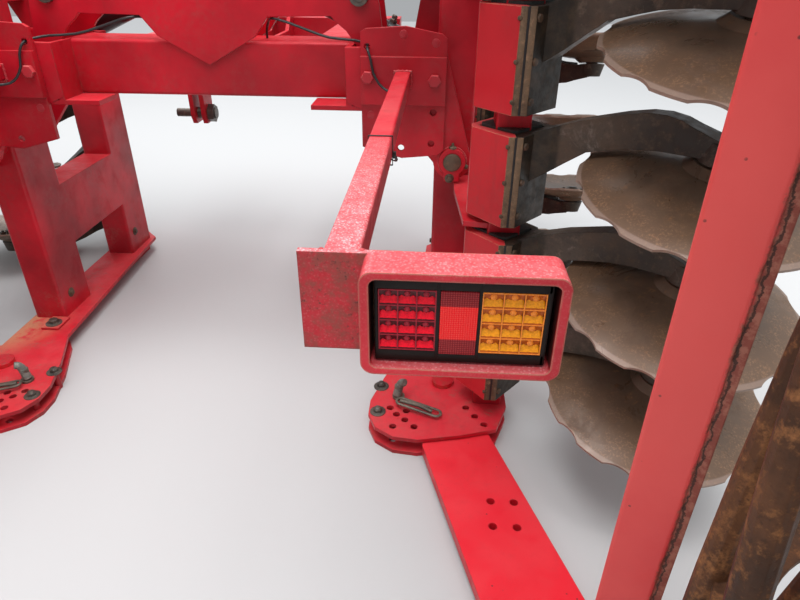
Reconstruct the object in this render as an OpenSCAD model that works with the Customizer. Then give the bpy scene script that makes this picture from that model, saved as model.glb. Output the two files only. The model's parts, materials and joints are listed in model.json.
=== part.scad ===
// Mounted disc harrow with two wings, folded up for the road.
// X points to the right, Y points forward to the tractor and Z points up from the ground.
// Each wing is drawn on the right as it stands folded. The left wing is its mirror image.

/* [Fold] */
// Distance of each fold hinge from the centre line
hinge_x = 696; // [692:1:730]
// Height of the fold hinges over the ground when parked
hinge_z = 686; // [650:1:688]
// Diameter of the fold hinge pins
hinge_pin_d = 50; // [40:1:56]
// Outside diameter of the wing's hinge tube
hinge_tube_d = 78; // [70:1:90]
// Thickness of the hinge ears
ear_t = 20; // [15:1:24]
// Distance between the inner faces of the two ears of a hinge
ear_gap = 270; // [262:1:290]

/* [Wing frame] */
// Length of a wing over its end plates
wing_len = 1990; // [1960:10:2080]
// Distance of the wing posts from the centre line
post_x = 700; // [695:1:705]
// Size of the wing posts across the machine
post_w = 110; // [90:1:114]
// Size of the wing posts along the machine
post_l = 180; // [150:1:190]
// Place of the rear post along the machine
post_y = 405; // [395:1:420]
// Distance between the two posts of a wing
post_pitch = 539; // [480:1:560]
// Height of the box that ties the posts
tie_h = 212; // [160:1:230]
// Thickness of the end plates
plate_t = 12; // [8:1:16]
// Gap between the two plates that take the roller arm
knuckle_gap = 36; // [33:1:44]

/* [Disc beams] */
// Size of the square beams that carry the discs
beam_s = 80; // [70:1:84]
// Distance of the disc beams from the centre line
beam_x = 823; // [815:1:840]
// Place of the rear disc beam behind the rear post
rear_beam_back = 419; // [400:1:440]
// Distance between the two disc beams
row_pitch = 1150; // [1120:1:1180]

/* [Clamps] */
// Distance between discs in a row
disc_pitch = 257; // [250:1:260]
// Height of the first clamp of the rear row
rear_first = 232; // [226:1:238]
// Height of the first clamp of the front row
front_first = 196; // [192:1:202]
// Length of a clamp along its beam
clamp_h = 212; // [180:1:216]
// Reach of a clamp's nose from its beam's axis
clamp_half = 92; // [88:1:96]
// Reach of a clamp's bolted edges from its beam's axis
clamp_edge = 104; // [98:1:108]
// Width of the bolted edge of one half of a clamp
flange_w = 16; // [12:1:20]

/* [Arms] */
// Reach of an arm outward from its beam
arm_out = 372; // [360:1:390]
// Reach of an arm backward from its beam
arm_back = 250; // [230:1:270]
// Thickness of an arm
arm_t = 46; // [36:1:54]
// Sideways step of an arm from its clamp to its hub
arm_step = 130; // [126:1:136]
// Diameter of the bearing housing at an arm's end
eye_d = 88; // [80:1:100]

/* [Discs] */
// Diameter of a disc
disc_d = 510; // [460:2:516]
// Depth of a disc's dish
dish = 56; // [50:1:60]
// Thickness of a disc
disc_t = 5; // [4:0.5:8]
// Number of scallops round a disc
scallop_n = 12; // [8:1:16]
// Radius of a scallop's cutter
scallop_r = 80; // [50:1:100]
// Depth of a scallop
scallop_in = 9; // [5:1:12]
// Tilt of a disc's plane from the line of travel
disc_tilt = 12; // [8:0.5:14]
// Diameter of the disc's spindle
spindle_d = 40; // [34:1:50]
// Diameter of the disc's hub flange
hub_d = 124; // [108:1:136]

/* [Roller] */
// Distance of the roller's axis from the centre line
roller_x = 1215; // [1205:1:1220]
// Place of the roller's axis behind the rear post
roller_back = 1497; // [1485:1:1520]
// Outside diameter of the roller
roller_d = 550; // [500:1:556]
// Diameter of the roller's bars
bar_d = 38; // [30:1:44]
// Number of bars
bar_n = 11; // [8:1:12]
// Twist of the bars from end to end
bar_twist = 70; // [0:1:120]
// Diameter of the roller's stub shafts
stub_d = 50; // [40:1:60]
// Size of the roller frame's cross tube
cross_s = 80; // [70:1:90]
// Turn of the cross tube about its own axis
cross_turn = 28; // [20:1:36]
// Thickness of the roller arms
side_t = 30; // [24:1:32]
// Diameter of the roller arm's pivot pin
pivot_d = 40; // [30:1:44]
// Diameter of the depth stop pin
stop_d = 24; // [18:1:26]

/* [Centre frame] */
// Size of the square centre beam
centre_s = 150; // [140:1:156]
// Half the length of the centre beam
centre_half = 400; // [380:1:410]
// Height of the centre beam's axis over the hinges
centre_up = 220; // [212:1:240]

/* [Three point linkage] */
// Distance between the lower link centres
link_span = 965; // [920:1:980]
// Distance of the lower link pins ahead of the rear post
link_fwd = 910; // [908:1:930]
// Height of the lower link pins over the ground
link_z = 560; // [540:1:600]
// Height of the top link pin over the lower link pins
mast_h = 685; // [640:1:700]
// Diameter of the lower link pins
link_d = 36.6; // [28:0.1:38]
// Free length of a lower link pin outside its collar
link_free = 70; // [60:1:90]
// Diameter of the hole for the top link's pin
top_d = 32; // [25:0.5:34]

/* [Fold cylinders] */
// Outside diameter of the cylinder barrels
barrel_d = 72; // [60:1:76]
// Diameter of the cylinder rods
rod_d = 36; // [30:1:38]
// Length of a cylinder barrel
barrel_len = 480; // [465:1:490]
// Diameter of the cylinder pins
cyl_pin_d = 30; // [24:1:34]
// Distance of the anchor pins from the centre line
anchor_x = 92; // [88:1:96]
// Height of the anchor pins over the fold hinges
anchor_up = 464; // [455:1:470]
// Distance of the rod eye from the centre line
rod_x = 600; // [592:1:606]
// Height of the rod eye over the fold hinge
rod_up = 244; // [236:1:250]

/* [Lamps] */
// Size of the square lamp arms
lamp_arm_s = 40; // [30:1:46]
// Distance of the lamp arms from the centre line
lamp_arm_x = 555; // [545:1:562]
// Length of a lamp arm
lamp_arm_len = 1100; // [900:10:1200]
// Height of the lamp arm's axis over the hinges
lamp_up = 222; // [205:1:235]
// Width of a lamp box
lamp_w = 206; // [180:1:230]
// Height of a lamp box
lamp_h = 120; // [100:1:140]
// Depth of a lamp box
lamp_l = 50; // [40:1:60]
// Wall of a lamp box
lamp_t = 6; // [4:1:8]
// Diameter of a lamp's lead
lead_d = 7; // [5:0.5:8]

/* [Clearances] */
// Play all round a pin in its bore
pin_play = 0.1; // [0.05:0.05:0.3]
// Gap between seated pieces
seat = 0.3; // [0.2:0.05:0.5]
// Gap between a turning piece and its neighbour
run = 5; // [4:0.5:8]

/* [Hidden] */
$fn = 48;
big = 4000;
side_names = ["right", "left"];
disc_rows = ["rear", "front"];

// Stack of the knuckle at a wing's end: lower plate, gap, upper plate
knuckle_h = 2 * plate_t + knuckle_gap;
post_z0 = knuckle_h;
post_z1 = wing_len - knuckle_h;
post_in = post_x - post_w / 2;
post_out = post_x + post_w / 2;
front_post_y = post_y + post_pitch;
disc_n = 7;
knuckle_x = 485;
beam_corner = 6;
sleeve_in = beam_s - beam_corner * (2 - sqrt(2)) + seat * sqrt(2);
clamp_nose = 14;
rear_beam_y = post_y - rear_beam_back;
front_beam_y = rear_beam_y + row_pitch;
tie_z = [390, 1170, wing_len - 200];
web_gaps = [1.5, 3.5, 5.5];

// Rows of a wing: place along the machine, first clamp and the way in which the arms step
ROW_Y = 0;
ROW_FIRST = 1;
ROW_STEP = 2;
rows = [[rear_beam_y, rear_first, 1], [front_beam_y, front_first, -1]];

// Roller frame, from the place of its pivot
pivot_x = 695;
pivot_y = post_y - 367;
roller_y = post_y - roller_back;
cross_x = 1010;
cross_y = post_y - 1157;
stop_x = 566;
stop_y = pivot_y - 80;
roller_z0 = 104;
roller_z1 = wing_len - roller_z0;

// Centre frame
ear_y = [post_y - ear_gap / 2 - ear_t, post_y + ear_gap / 2];
ear_r = 54;
boss_t = 18;
keeper_w = 44;
keeper_h = 30;
centre_y = post_y + 21;
centre_z = hinge_z + centre_up;
centre_top = centre_z + centre_s / 2;
boss_x = 430;
boss_z = centre_top + 117;
link_y = post_y + link_fwd;
link_x = link_span / 2;
top_z = link_z + mast_h;
top_y = link_y - 35;
head_y = centre_y + centre_s / 2 + 12 + seat;

// Fold cylinders, ahead of the front hinge ears
cyl_y = ear_y[1] + ear_t + 46;
eye_w = 40;
lug_gap = 42;
lug_t = 14;
anchor_z = hinge_z + anchor_up;
rod_z = hinge_z + rod_up;
cyl_dx = rod_x - anchor_x;
cyl_dz = rod_z - anchor_z;
cyl_len = norm([cyl_dx, cyl_dz]);
cyl_dip = atan2(-cyl_dz, cyl_dx);

// Lamps
lamp_z = hinge_z + lamp_up;
mount_t = 12;
mount_y = ear_y[0] - mount_t;
pad_y = mount_y - mount_t;
lamp_end_y = pad_y - lamp_arm_len;

// Places that a lamp's lead runs through, from the centre beam to the plate behind the lamp
lead_points = [[150, 424, 981.3], [150, 424, 1000], [165, 395, 1028], [186, 350, 1040], [212, 332, 1038],
  [240, 328, 1031], [297, 318, 1013], [352, 304, 999], [422, 288, 995], [448, 271, 991], [461, 254, 988],
  [461, 236, 985], [465, 224, 976], [472, 218, 955], [478, 217, 925], [494, 213, 898], [515, 206, 883],
  [540, 190, 881], [555, 150, 882], [556, 40, 883], [558, -780, 883], [558, -810, 883], [566, -836, 881],
    [585, -855, 873],
  [600, -864, 869], [600, -872.6, 868]];
lead_sides = 8;

disc_nodes = [for (s = side_names, r = disc_rows, k = [1 : 7]) str("disc_", r, "_", s, "_", k)];

red = "#b3202b";
dull = "#8f2430";
iron = "#4a4039";
rust = "#7a4a2a";
black = "#1c1c1e";
steel = "#8c8c8c";

module on_side(s) {
  if (s == "left") mirror([1, 0, 0]) children();
  else children();
}

// A square or oblong section with round corners, centred
module section(w, l, r) {
  square([w - 2 * r, l], center = true);
  square([w, l - 2 * r], center = true);
  for (x = [-1, 1], y = [-1, 1])
    translate([x * (w / 2 - r), y * (l / 2 - r)]) circle(r);
}

// A bar along X between two points in the plane of a plate that faces along Y
module plate_y(y, t) {
  translate([0, y + t, 0]) rotate([90, 0, 0]) linear_extrude(t) children();
}

module rod_y(x, y, z, d, len) {
  translate([x, y, z]) rotate([-90, 0, 0]) cylinder(h = len, d = d);
}

module rod_x(x, y, z, d, len) {
  translate([x, y, z]) rotate([0, 90, 0]) cylinder(h = len, d = d);
}

module post_tube(y) {
  translate([post_x, y, post_z0]) linear_extrude(post_z1 - post_z0) section(post_w, post_l, 10);
}

// Outline of a wing's end plate, with its knuckle at the rear
module end_outline() {
  rear = rear_beam_y;
  front = front_beam_y;
  polygon([[knuckle_x, pivot_y - 160], [knuckle_x, pivot_y - 100], [518, pivot_y + 18],
    [post_in - 65, post_y - 195],
    [post_in - 22, front_post_y + 90], [post_in, front_post_y + 112], [beam_x - 52, front + 54],
    [beam_x + 52, front + 54], [beam_x + 52, front - 54], [post_out + 10, front - 130],
    [post_out + 10, rear + 150], [beam_x + 56, rear + 56], [beam_x + 56, rear - 50], [844, pivot_y - 200],
    [740, pivot_y - 232], [628, pivot_y - 256], [560, pivot_y - 248], [508, pivot_y - 212]]);
}

module knuckle_outline() {
  rear = rear_beam_y;
  polygon([[knuckle_x, pivot_y - 160], [knuckle_x, pivot_y - 100], [518, pivot_y + 18],
    [post_in - 65, post_y - 195],
    [post_in, post_y - post_l / 2 - 20], [post_out, post_y - post_l / 2 - 20], [beam_x + 56, rear + 56],
    [beam_x + 56, rear - 50], [844, pivot_y - 200], [740, pivot_y - 232], [628, pivot_y - 256],
    [560, pivot_y - 248], [508, pivot_y - 212]]);
}

// Places of the depth holes from the roller arm's pivot
depth_holes = [[-150, -129], [-130, -156], [-105, -178], [-103, -140], [-137, -207], [-78, -205],
  [68, -114], [92, -150], [116, -183]];

module knuckle_holes() {
  for (p = depth_holes) translate([pivot_x + p[0], pivot_y + p[1]]) circle(d = 20);
  translate([pivot_x, pivot_y]) circle(d = pivot_d + 2 * pin_play);
  translate([stop_x, stop_y]) circle(d = stop_d + 2 * pin_play);
}

module end_pair() {
  difference() {
    union() {
      linear_extrude(plate_t) knuckle_outline();
      translate([0, 0, plate_t + knuckle_gap]) linear_extrude(plate_t) end_outline();
      for (y = [-1, 1]) translate([511, pivot_y - 90 + y * 58, 0]) cylinder(h = knuckle_h, d = 20);
      translate([post_x - 40, post_y - post_l / 2, 0])
        cube([80, post_pitch + post_l, plate_t + knuckle_gap]);
    }
    translate([0, 0, -1]) linear_extrude(knuckle_h + 2) knuckle_holes();
  }
}

// A plate in the gap between two clamps, from a post to a disc beam
module rear_web(z) {
  translate([0, 0, z - 7]) linear_extrude(14) difference() {
    polygon([[post_x + 4, post_y - post_l / 2 + 1], [post_out, post_y - post_l / 2 + 1],
      [beam_x + beam_s / 2, rear_beam_y + beam_s / 2], [beam_x - beam_s / 2, rear_beam_y - beam_s / 2],
      [beam_x - beam_s / 2 - 60, rear_beam_y - beam_s / 2 + 10], [post_x + 4, rear_beam_y + 200]]);
    translate([beam_x, rear_beam_y]) section(beam_s, beam_s, beam_corner);
    translate([post_x - 150, rear_beam_y + 110]) circle(150);
  }
}

module front_web(z) {
  half = beam_s / 2;
  translate([0, 0, z - 7]) linear_extrude(14) difference() {
    polygon([[post_x - half, front_post_y + half], [post_x + half, front_post_y - half],
      [beam_x + half, front_beam_y - half], [beam_x - half, front_beam_y + half]]);
    translate([beam_x, front_beam_y]) section(beam_s, beam_s, beam_corner);
  }
}

module wing_frame() {
  color(dull) difference() {
    union() {
      end_pair();
      translate([0, 0, wing_len]) mirror([0, 0, 1]) end_pair();
      post_tube(post_y);
      post_tube(front_post_y);
      for (z = tie_z) translate([post_in, post_y, z - tie_h / 2])
        cube([post_w, post_pitch, tie_h]);
      for (k = web_gaps) {
        rear_web(rear_first + k * disc_pitch);
        front_web(front_first + k * disc_pitch);
      }
      rod_y(hinge_x, ear_y[0] + ear_t + 2, hinge_z, hinge_tube_d, ear_gap - 4);
      rod_lugs();
    }
    rod_y(hinge_x, 0, hinge_z, hinge_pin_d + 2 * pin_play, 2 * post_y);
  }
}

// Two lugs on the middle tie that take the cylinder rod's eye
module rod_lugs() {
  for (y = [cyl_y - lug_gap / 2 - lug_t, cyl_y + lug_gap / 2]) plate_y(y, lug_t) difference() {
    union() {
      translate([rod_x, rod_z]) circle(36);
      polygon([[rod_x - 36, rod_z], [rod_x - 30, rod_z + 60], [post_in - 30, tie_z[1] + 60],
        [post_in + 1, tie_z[1] + 80],
        [post_in + 60, tie_z[1] - tie_h / 2], [rod_x + 30, rod_z - 20]]);
    }
    translate([rod_x, rod_z]) circle(d = cyl_pin_d + 2 * pin_play);
  }
}

module disc_beams() {
  color(dull) for (y = [rear_beam_y, front_beam_y])
    translate([beam_x, y, knuckle_h]) linear_extrude(wing_len - 2 * knuckle_h)
      section(beam_s, beam_s, beam_corner);
}

function clamp_z(row, k) = row[ROW_FIRST] + k * disc_pitch;

// Half of a clamp's sleeve on the side of sx, from one bolted edge over its nose to the other
module half_sleeve(sx, h) {
  translate([0, 0, -h / 2]) linear_extrude(h) polygon([
    [sx * seat, -clamp_edge], [sx * flange_w, -clamp_edge], [sx * clamp_half, -clamp_nose],
    [sx * clamp_half, clamp_nose], [sx * flange_w, clamp_edge], [sx * seat, clamp_edge],
    [sx * seat, sleeve_in], [sx * sleeve_in, 0], [sx * seat, -sleeve_in]]);
}

module clamp_caps() {
  color(red) for (row = rows, k = [0 : disc_n - 1])
    translate([beam_x, row[ROW_Y], clamp_z(row, k)]) half_sleeve(-1, clamp_h);
}

// Four cords of rubber that hold a clamp on its beam
module clamp_rubbers() {
  near = beam_s / 2 + seat;
  far = sleeve_in - 8;
  side = sleeve_in - near - seat * sqrt(2);
  color(black) for (row = rows, k = [0 : disc_n - 1], a = [0 : 90 : 270])
    translate([beam_x, row[ROW_Y], clamp_z(row, k) - clamp_h / 2 - 6]) rotate(a)
      linear_extrude(clamp_h + 12)
        polygon([[near, -side], [far, -8 + seat * 1.5], [far, 8 - seat * 1.5], [near, side]]);
}

arm_len = norm([arm_out, arm_back]);
arm_turn = atan2(-arm_back, arm_out);
housing_w = 64;

// Side view of an arm along its own line: reach from the clamp and height over the hub's middle
arm_lower = [[60, -143], [110, -108], [150, -78], [193, -47], [235, -36], [286, -24], [342, -18],
  [arm_len, -16]];
arm_upper = [[arm_len, 20], [400, 36], [372, 47], [340, 53], [305, 52], [257, 42], [168, 16], [99, -11],
  [60, -25]];

module arm_blank() {
  rotate([0, 0, arm_turn]) intersection() {
    translate([0, big / 2, arm_step]) rotate([90, 0, 0]) linear_extrude(big)
      polygon(concat(arm_lower, arm_upper));
    translate([0, 0, -big / 2]) linear_extrude(big)
      polygon([[40, -52], [112, -arm_t / 2], [arm_len - 120, -arm_t / 2], [arm_len, -housing_w / 2],
        [arm_len, housing_w / 2], [arm_len - 120, arm_t / 2], [112, arm_t / 2], [40, 52]]);
  }
}

// Places from the rim's plane along the disc's own axis
hub_z0 = dish + disc_t;
hub_t = 12;
eye_z0 = hub_z0 + hub_t + run;
eye_h = 40;
rim_z = arm_step - (eye_z0 + eye_h / 2);

// Turns and moves from a clamp to its disc, whose axis leans in the line of travel
module at_disc() {
  translate([arm_out, -arm_back, arm_step]) rotate([disc_tilt, 0, 0]) translate([0, 0, -arm_step + rim_z])
    children();
}

module sleeve_void() {
  translate([0, 0, -big / 2]) linear_extrude(big)
    polygon([[-1, -sleeve_in - 1], [0, -sleeve_in], [sleeve_in, 0], [0, sleeve_in], [-1, sleeve_in + 1],
      [-clamp_half, 0]]);
}

module disc_arm() {
  half_sleeve(1, clamp_h);
  difference() {
    union() {
      arm_blank();
      at_disc() translate([0, 0, eye_z0]) cylinder(h = eye_h, d1 = eye_d, d2 = housing_w);
    }
    sleeve_void();
    at_disc() translate([0, 0, eye_z0 - 1]) cylinder(h = eye_h - 7, d = spindle_d + 2 * pin_play);
    at_disc() translate([0, 0, eye_z0 - 60]) cylinder(h = 60, d = hub_d + 2 * run);
  }
}

// Puts a row's part at each clamp, stepping up in the rear row and down in the front row
module at_clamp(row, k) {
  translate([beam_x, row[ROW_Y], clamp_z(row, k)]) mirror([0, 0, row[ROW_STEP] > 0 ? 0 : 1]) children();
}

module disc_arms() {
  color(iron) for (row = rows, k = [0 : disc_n - 1]) at_clamp(row, k) disc_arm();
}

// A dished disc with scallops round its rim, and its hub and spindle
module disc() {
  rim_r = disc_d / 2;
  ball_r = (rim_r * rim_r + dish * dish) / (2 * dish);
  color(rust) at_disc() {
    difference() {
      intersection() {
        translate([0, 0, dish - ball_r]) sphere(ball_r + disc_t, $fn = 96);
        translate([0, 0, -1]) cylinder(h = dish + 2 * disc_t, r = rim_r);
      }
      translate([0, 0, dish - ball_r]) sphere(ball_r, $fn = 96);
      for (a = [0 : scallop_n - 1]) rotate(a * 360 / scallop_n)
        translate([rim_r + scallop_r - scallop_in, 0, -1]) cylinder(h = dish + 4 * disc_t, r = scallop_r);
    }
    translate([0, 0, hub_z0 - 3]) cylinder(h = hub_t + 3, d1 = hub_d, d2 = eye_d);
    translate([0, 0, hub_z0]) cylinder(h = hub_t + run + eye_h - 12, d = spindle_d);
    translate([0, 0, dish - 12]) cylinder(h = 14, d = hub_d - 16);
  }
}

// Pins that ride with the wing: roller pivots and depth stops at both ends
module wing_pins() {
  color(steel) for (m = [0, 1]) translate([0, 0, m * wing_len]) mirror([0, 0, m]) {
    translate([pivot_x, pivot_y, 0]) cylinder(h = knuckle_h + 14, d = pivot_d);
    translate([pivot_x, pivot_y, knuckle_h + seat]) cylinder(h = 14 - seat, d = pivot_d + 26);
    translate([stop_x, stop_y, 0]) cylinder(h = knuckle_h + 44, d = stop_d);
    translate([stop_x, stop_y, knuckle_h + seat]) cylinder(h = 8, d = stop_d + 12);
  }
}

// Outline of a roller arm, from its pivot to the roller's bearing
module side_outline() {
  difference() {
    union() {
      translate([pivot_x, pivot_y]) circle(62);
      polygon([[pivot_x - 62, pivot_y], [642, pivot_y - 262], [774, pivot_y - 702], [930, roller_y + 290],
        [roller_x - 90, roller_y - 40], [roller_x + 60, roller_y - 60], [roller_x + 70, roller_y + 60],
        [1085, cross_y + 30], [990, pivot_y - 688], [824, pivot_y - 207], [pivot_x + 62, pivot_y]]);
      translate([roller_x, roller_y]) circle(80);
    }
    translate([pivot_x, pivot_y]) circle(d = pivot_d + 2 * pin_play);
    for (x = [-1, 1], y = [-1, 1]) translate([841 + x * 28, pivot_y - 478 + y * 37]) circle(d = 20);
  }
}

module roller_end() {
  side_z = plate_t + (knuckle_gap - side_t) / 2;
  difference() {
    union() {
      translate([0, 0, side_z]) linear_extrude(side_t) side_outline();
      translate([roller_x, roller_y, side_z + side_t - 1])
        cylinder(h = roller_z0 - side_z - side_t - run - 9, d = 120);
    }
    translate([roller_x, roller_y, side_z + 8]) cylinder(h = roller_z0, d = stub_d + 2 * pin_play);
  }
}

module roller_frame() {
  cross_z = plate_t + (knuckle_gap + side_t) / 2;
  color(red) {
    roller_end();
    translate([0, 0, wing_len]) mirror([0, 0, 1]) roller_end();
    translate([cross_x, cross_y, cross_z - 1]) rotate(-cross_turn)
      linear_extrude(wing_len - 2 * cross_z + 2) {
        section(cross_s, cross_s, 6);
        translate([cross_s / 2 + 7, -cross_s / 2 + 24]) square([16, 30], center = true);
      }
  }
}

stub_reach = 70;

module roller() {
  ring_r = roller_d / 2 - bar_d / 2 - 4;
  bar_r = roller_d / 2 - bar_d / 2;
  ring_t = 8;
  span = roller_z1 - roller_z0;
  color(rust) translate([roller_x, roller_y, roller_z0]) {
    linear_extrude(span, twist = bar_twist, slices = 12, $fn = 12) for (a = [0 : bar_n - 1])
      rotate(a * 360 / bar_n) translate([bar_r, 0]) circle(d = bar_d);
    for (z = [0, span - ring_t]) translate([0, 0, z]) cylinder(h = ring_t, r = ring_r);
    for (f = [1, 2, 3]) translate([0, 0, f * span / 4 - ring_t / 2]) difference() {
      cylinder(h = ring_t, r = ring_r);
      translate([0, 0, -1]) cylinder(h = ring_t + 2, r = ring_r - 60);
    }
    for (z = [-stub_reach, span - 1]) translate([0, 0, z]) cylinder(h = stub_reach + 1, d = stub_d);
  }
}

module hinge_pins() {
  color(steel) for (x = [-1, 1])
    rod_y(x * hinge_x, ear_y[0] - 22, hinge_z, hinge_pin_d, ear_gap + 2 * ear_t + 38);
}

// One ear of a hinge, drawn on the right in the plane across the machine
module ear_outline() {
  difference() {
    union() {
      translate([hinge_x, hinge_z]) circle(ear_r);
      polygon([[centre_half, centre_top], [hinge_x - 30, centre_top + 6], [hinge_x - 14, hinge_z + 240],
        [hinge_x + ear_r - 2, hinge_z + 10], [hinge_x - 20, hinge_z - ear_r + 8],
          [hinge_x - 130, hinge_z + 84],
        [centre_half, centre_z - centre_s / 2 + 10]]);
    }
    translate([hinge_x, hinge_z]) circle(d = hinge_pin_d + 2 * pin_play);
  }
}

// The plate behind and ahead of the centre beam, with its pointed middle and its two legs
module crown_outline() {
  leg = [[45, -41], [63, -66], [78, -73], [105, -71]];
  shoulder = [[-221, 64], [-262, 12]];
  difference() {
    polygon(concat([for (p = leg) [centre_half + p[0], centre_top + p[1]]],
      [[centre_half + 84, boss_z - 20], [centre_half + 66, boss_z + 44], [centre_half - 20, boss_z + 80]],
      [[-centre_half + 20, boss_z + 80], [-centre_half - 66, boss_z + 44],
        [-centre_half - 84, boss_z - 20]],
      [for (i = [3 : -1 : 0]) [-centre_half - leg[i][0], centre_top + leg[i][1]]],
      [[-centre_half + 7, centre_top + 31], [-centre_half + 37, centre_top + 55],
        [-centre_half + 48, centre_top + 67]],
      [for (p = shoulder) [-centre_half - p[0], centre_top + p[1]]], [[0, centre_top - 63]],
      [for (i = [1, 0]) [centre_half + shoulder[i][0], centre_top + shoulder[i][1]]],
      [[centre_half - 48, centre_top + 67], [centre_half - 37, centre_top + 55],
        [centre_half - 7, centre_top + 31]]));
    for (x = [-1, 1]) translate([x * boss_x, boss_z]) circle(d = cyl_pin_d + 2 * pin_play);
  }
}

module centre_beam() {
  color(red) {
    translate([-centre_half, centre_y, centre_z]) rotate([90, 0, 90]) linear_extrude(2 * centre_half)
      section(centre_s, centre_s, 10);
    for (y = [centre_y - centre_s / 2 - 12, centre_y + centre_s / 2]) plate_y(y, 12) crown_outline();
    for (s = [0, 1]) mirror([s, 0, 0]) {
      for (y = ear_y) plate_y(y, ear_t) ear_outline();
      plate_y(ear_y[0] - boss_t, boss_t + 1) difference() {
        union() {
          translate([hinge_x, hinge_z]) circle(d = hinge_pin_d + 26);
          translate([hinge_x - keeper_w / 2, hinge_z - hinge_pin_d / 2 - keeper_h])
            square([keeper_w, keeper_h]);
        }
        translate([hinge_x, hinge_z]) circle(d = hinge_pin_d + 2 * pin_play);
      }
      translate([centre_half - 1, ear_y[0] + 1, centre_z - centre_s / 2])
        cube([16, ear_gap + 2 * ear_t - 2, centre_s]);
      translate([centre_half - 100, ear_y[0] + 1, centre_z - centre_s / 2 - 12])
        cube([200, centre_y - centre_s / 2 - ear_y[0], 12.5]);
    }
  }
}

// One side of the mast, in the plane along the machine
module mast_outline() {
  difference() {
    polygon([[head_y, centre_z - 45], [head_y, boss_z + 90], [cyl_y + 60, anchor_z + 60],
      [top_y - 50, top_z + 46],
      [top_y + 30, top_z + 46], [top_y + 48, top_z + 20], [top_y + 48, top_z - 36],
        [link_y + 52, centre_z + 70],
      [link_y + 52, centre_z - 60], [link_y - 56, centre_z - 60], [link_y - 120, centre_z - 45]]);
    polygon([[head_y + 190, centre_z + 20], [head_y + 190, anchor_z - 30], [top_y - 130, top_z - 40],
      [top_y - 60, top_z - 90], [link_y - 70, centre_z + 100], [link_y - 150, centre_z + 20]]);
  }
}

module link_outline() {
  polygon([[link_y - 56, centre_z], [link_y + 52, centre_z], [link_y + 52, link_z],
    [link_y + 34, link_z - 40],
    [link_y - 34, link_z - 40], [link_y - 50, link_z]]);
}

// Plate across the mast that takes the anchor pins of both cylinders
module anchor_outline() {
  polygon([[-anchor_x - 30, anchor_z - 26], [-anchor_x - 34, anchor_z + 10],
    [-anchor_x - 14, anchor_z + 34],
    [anchor_x + 14, anchor_z + 34], [anchor_x + 34, anchor_z + 10], [anchor_x + 30, anchor_z - 26],
    [60, centre_z - 20], [-60, centre_z - 20]]);
}

// Places of a lower link bracket's two plates and its stud, from the ball's middle outward
link_plates = [-93, -45];
link_plate_t = 20;
shank_d = link_d + 12;

module headstock() {
  plate_w = centre_half - 10;
  color(red) difference() {
    union() {
      for (x = [-42, 27]) translate([x, 0, 0]) rotate([90, 0, 90]) linear_extrude(15) mast_outline();
      for (x = [-1, 1]) translate([x * 300 - 60, head_y, centre_z - 45]) cube([120, link_y - head_y, 90]);
      translate([-plate_w, head_y, centre_z - 60]) cube([2 * plate_w, 12, 120]);
      translate([-link_x, link_y - 56, centre_z - 60]) cube([2 * link_x, 108, 120]);
      for (m = [0, 1], x = link_plates) mirror([m, 0, 0]) translate([link_x + x, 0, 0]) rotate([90, 0, 90])
        linear_extrude(link_plate_t) link_outline();
      for (y = [cyl_y - lug_gap / 2 - lug_t, cyl_y + lug_gap / 2]) plate_y(y, lug_t) anchor_outline();
    }
    rod_x(-big / 2, link_y, link_z, shank_d + 2 * pin_play, big);
    rod_x(-big / 2, top_y, top_z, top_d, big);
    for (x = [-1, 1]) rod_y(x * anchor_x, 0, anchor_z, cyl_pin_d + 2 * pin_play, big);
  }
}

// The studs that take the tractor's lower links, and the pins of the fold cylinders and their bosses
module link_pins() {
  plates_in = link_x + link_plates[0] - seat;
  plates_out = link_x + link_plates[1] + link_plate_t + seat;
  color(steel) {
    for (m = [0, 1]) mirror([m, 0, 0]) {
      rod_x(plates_in - 34, link_y, link_z, shank_d, plates_out - plates_in + 36);
      translate([plates_in - 28, link_y, link_z]) rotate([0, 90, 0])
        cylinder(h = 28, d = shank_d + 30, $fn = 6);
      rod_x(plates_out, link_y, link_z, shank_d + 16, 8);
      rod_x(plates_out + 4, link_y, link_z, link_d, link_free + 4);
    }
    for (s = [-1, 1]) {
      rod_y(s * anchor_x, cyl_y - lug_gap / 2 - lug_t - 12, anchor_z, cyl_pin_d, lug_gap + 2 * lug_t + 24);
      rod_y(s * boss_x, centre_y - centre_s / 2 - 26, boss_z, cyl_pin_d, centre_s + 52);
      rod_y(s * boss_x, centre_y - centre_s / 2 - 24 - seat, boss_z, cyl_pin_d + 20, 12);
    }
  }
}

// Turns a part that lies along +X from the anchor into the cylinder's line, for the right wing
module on_cylinder() {
  translate([anchor_x, cyl_y, anchor_z]) rotate([0, cyl_dip, 0]) children();
}

module cylinder_barrel() {
  color(black) on_cylinder() difference() {
    union() {
      rod_y(0, -eye_w / 2, 0, 60, eye_w);
      rod_x(20, 0, 0, eye_w - 4, 34);
      rod_x(52, 0, 0, barrel_d, barrel_len - 52);
    }
    rod_x(62, 0, 0, rod_d + 2 * pin_play, barrel_len);
    rod_y(0, -30, 0, cyl_pin_d + 2 * pin_play, 60);
  }
}

module cylinder_rod() {
  color(steel) on_cylinder() difference() {
    union() {
      rod_x(66, 0, 0, rod_d, cyl_len - 88);
      rod_y(cyl_len, -eye_w / 2, 0, 60, eye_w);
    }
    rod_y(cyl_len, -30, 0, cyl_pin_d + 2 * pin_play, 60);
  }
}

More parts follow.
